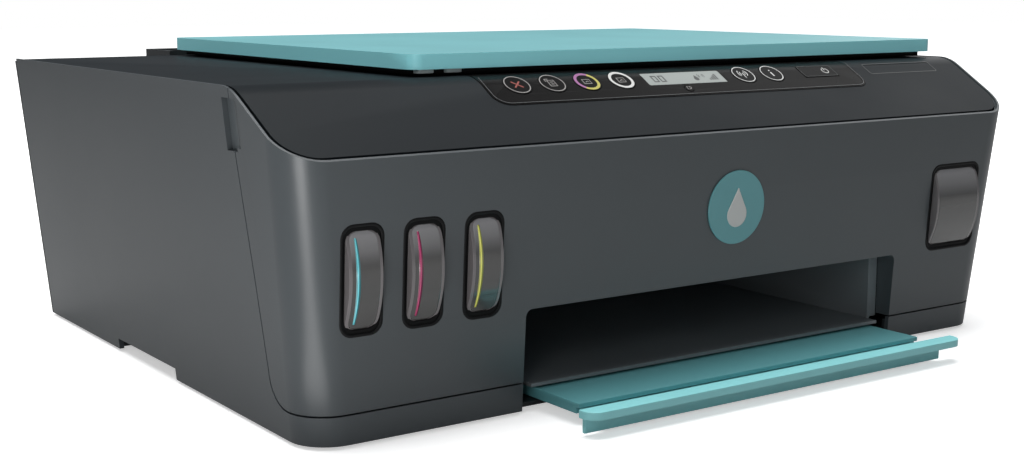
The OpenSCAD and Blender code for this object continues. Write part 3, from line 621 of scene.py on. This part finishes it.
def window_lens(ink, x, w):
    """Curved window as a grid of strips up its height, with round corners."""
    at = on_front(x, sum(WINDOW_Z) / 2)
    h = WINDOW_Z[1] - WINDOW_Z[0] - 2 * WINDOW_GAP - 0.3
    w = w - 2 * WINDOW_GAP - 0.3
    rows, corner = 40, 3.8
    bm = bmesh.new()
    strips = []
    for i in range(rows + 1):
        y = -h / 2 + h * i / rows
        over = max(0, abs(y) - (h / 2 - corner))
        half = w / 2 - corner + math.sqrt(max(0, corner ** 2 - over ** 2)) if over else w / 2
        z = bulge(y) + 0.12
        round_x, round_z = min(1.1, half * 0.4), 0.7
        across = [(-half, z - round_z - 3), (-half, z - round_z)]
        across += [(-half + round_x * (1 - math.cos(t)), z - round_z * (1 - math.sin(t)))
                   for t in map(math.radians, (22, 45, 68, 90))]
        across += [(-px, pz) for px, pz in reversed(across)]
        strips.append([bm.verts.new(at @ Vector((px * MM, y * MM, pz * MM))) for px, pz in across])
    for low, high in zip(strips, strips[1:]):
        for j in range(len(low) - 1):
            bm.faces.new((low[j], low[j + 1], high[j + 1], high[j]))
        bm.faces.new((low[-1], low[0], high[0], high[-1]))
    bm.faces.new(strips[0])
    bm.faces.new(list(reversed(strips[-1])))
    lens = add_piece("window_" + ink, bm, SMOKE, "printer_body")
    soften(lens, 0.25, 2, 50)


def window_stripe(ink, x, w):
    """Coloured line that shows the ink, running down the left of the window."""
    at = on_front(x, sum(WINDOW_Z) / 2)
    half = (WINDOW_Z[1] - WINDOW_Z[0]) / 2 - WINDOW_GAP - 2.6
    x0 = -w / 2 + WINDOW_GAP + 3.4
    for tag, width, lift, rgb in (("glow", 2.0, 0.14, [c * 0.72 for c in STRIPE[ink]]),
                                  ("line", 0.7, 0.2, [min(255, c * 1.05) for c in STRIPE[ink]])):
        bm = bmesh.new()
        rails = []
        for i in range(33):
            y = -half + 2 * half * i / 32
            z = bulge(y)
            taper = width * (0.35 + 0.65 * math.sin(math.pi * (i + 1.2) / 34) ** 0.5) / 2
            rails.append([bm.verts.new(at @ Vector(((x0 + s * taper) * MM, y * MM, (z + d) * MM)))
                          for s, d in ((-1, 0), (-1, lift), (1, lift), (1, 0))])
        for a, b in zip(rails, rails[1:]):
            for j in range(4):
                k = (j + 1) % 4
                bm.faces.new((a[j], a[k], b[k], b[j]))
        bm.faces.new(rails[0])
        bm.faces.new(rails[-1][::-1])
        mat = moulded(f"stripe_{tag}_{ink}", srgb(*rgb), 0.25, 400, FINE, coat=0.4)
        add_piece(f"window_{tag}_{ink}", bm, mat, "printer_body")


def window_rim(ink, x, w):
    """Black frame sunk round the window, and a thin lip over the slot's edge."""
    at = on_front(x, sum(WINDOW_Z) / 2)
    h = WINDOW_Z[1] - WINDOW_Z[0]
    bm = bmesh.new()
    gap = 2 * WINDOW_GAP
    extrude_ring(bm, at, round_rect(w - 0.05, h - 0.05, 5), round_rect(w - gap, h - gap, 4), -3.4, -0.25)
    soften(add_piece("window_rim_" + ink, bm, BLACK_RIM_AND_SHADE, "printer_body"), 0.2, 2)
    bm = bmesh.new()
    extrude_ring(bm, at, round_rect(w + 2.2, h + 2.2, 5.9), round_rect(w - 0.5, h - 0.5, 4.8), -0.06, 0.1)
    add_piece("window_lip_" + ink, bm, BLACK_RIM_AND_SHADE, "printer_body")


for ink, (x, w) in WINDOW_AT.items():
    window_lens(ink, x, w)
    window_rim(ink, x, w)
    if ink in STRIPE:
        window_stripe(ink, x, w)


# ---- badge: a plain disc with an ink drop ----

def badge_drop():
    lo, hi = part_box("badge")
    at = on_front((lo[0] + hi[0]) / 2 / MM, (lo[2] + hi[2]) / 2 / MM, 1.0)
    outline = arc(0, -3.4, 6.2, -208, 28, 30) + [(3.4, 3.2), (0, 9.6), (-3.4, 3.2)]
    bm = bmesh.new()
    extrude(bm, at, outline, -0.1, 0.5)
    soften(add_piece("badge_drop", bm, INK["white"], "printer_body"), 0.3)


badge_drop()


# ---- under the lid: a black ring of painted shade all round, and bumpers at the left ----

def lid_gap_shade():
    """Black ring under the lid's edge: painted shade that stands for the shadow in the gap over the deck.
    """
    lo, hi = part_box("lid_cover")
    w, d = (hi[0] - lo[0]) / MM, (hi[1] - lo[1]) / MM
    at = Matrix.Translation(((lo[0] + hi[0]) / 2, (lo[1] + hi[1]) / 2, lo[2]))
    bm = bmesh.new()
    extrude_ring(bm, at, round_rect(w - 9, d - 9, 4), round_rect(w - 13, d - 13, 3), -2.6, 0.2)
    add_piece("lid_gap_shade", bm, BLACK_RIM_AND_SHADE, "lid")


lid_gap_shade()


def lid_bumpers():
    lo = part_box("lid_cover")[0]
    for tag, x in (("left_a", lo[0] / MM + 9), ("left_b", lo[0] / MM + 24)):
        bm = bmesh.new()
        at = Matrix.Translation((x * MM, lo[1] + 5 * MM, lo[2]))
        extrude(bm, at, round_rect(9, 5, 1.5), -1.9, 0.3)
        soften(add_piece("lid_bumper_" + tag, bm, INK["pale"], "lid"), 0.4)


lid_bumpers()
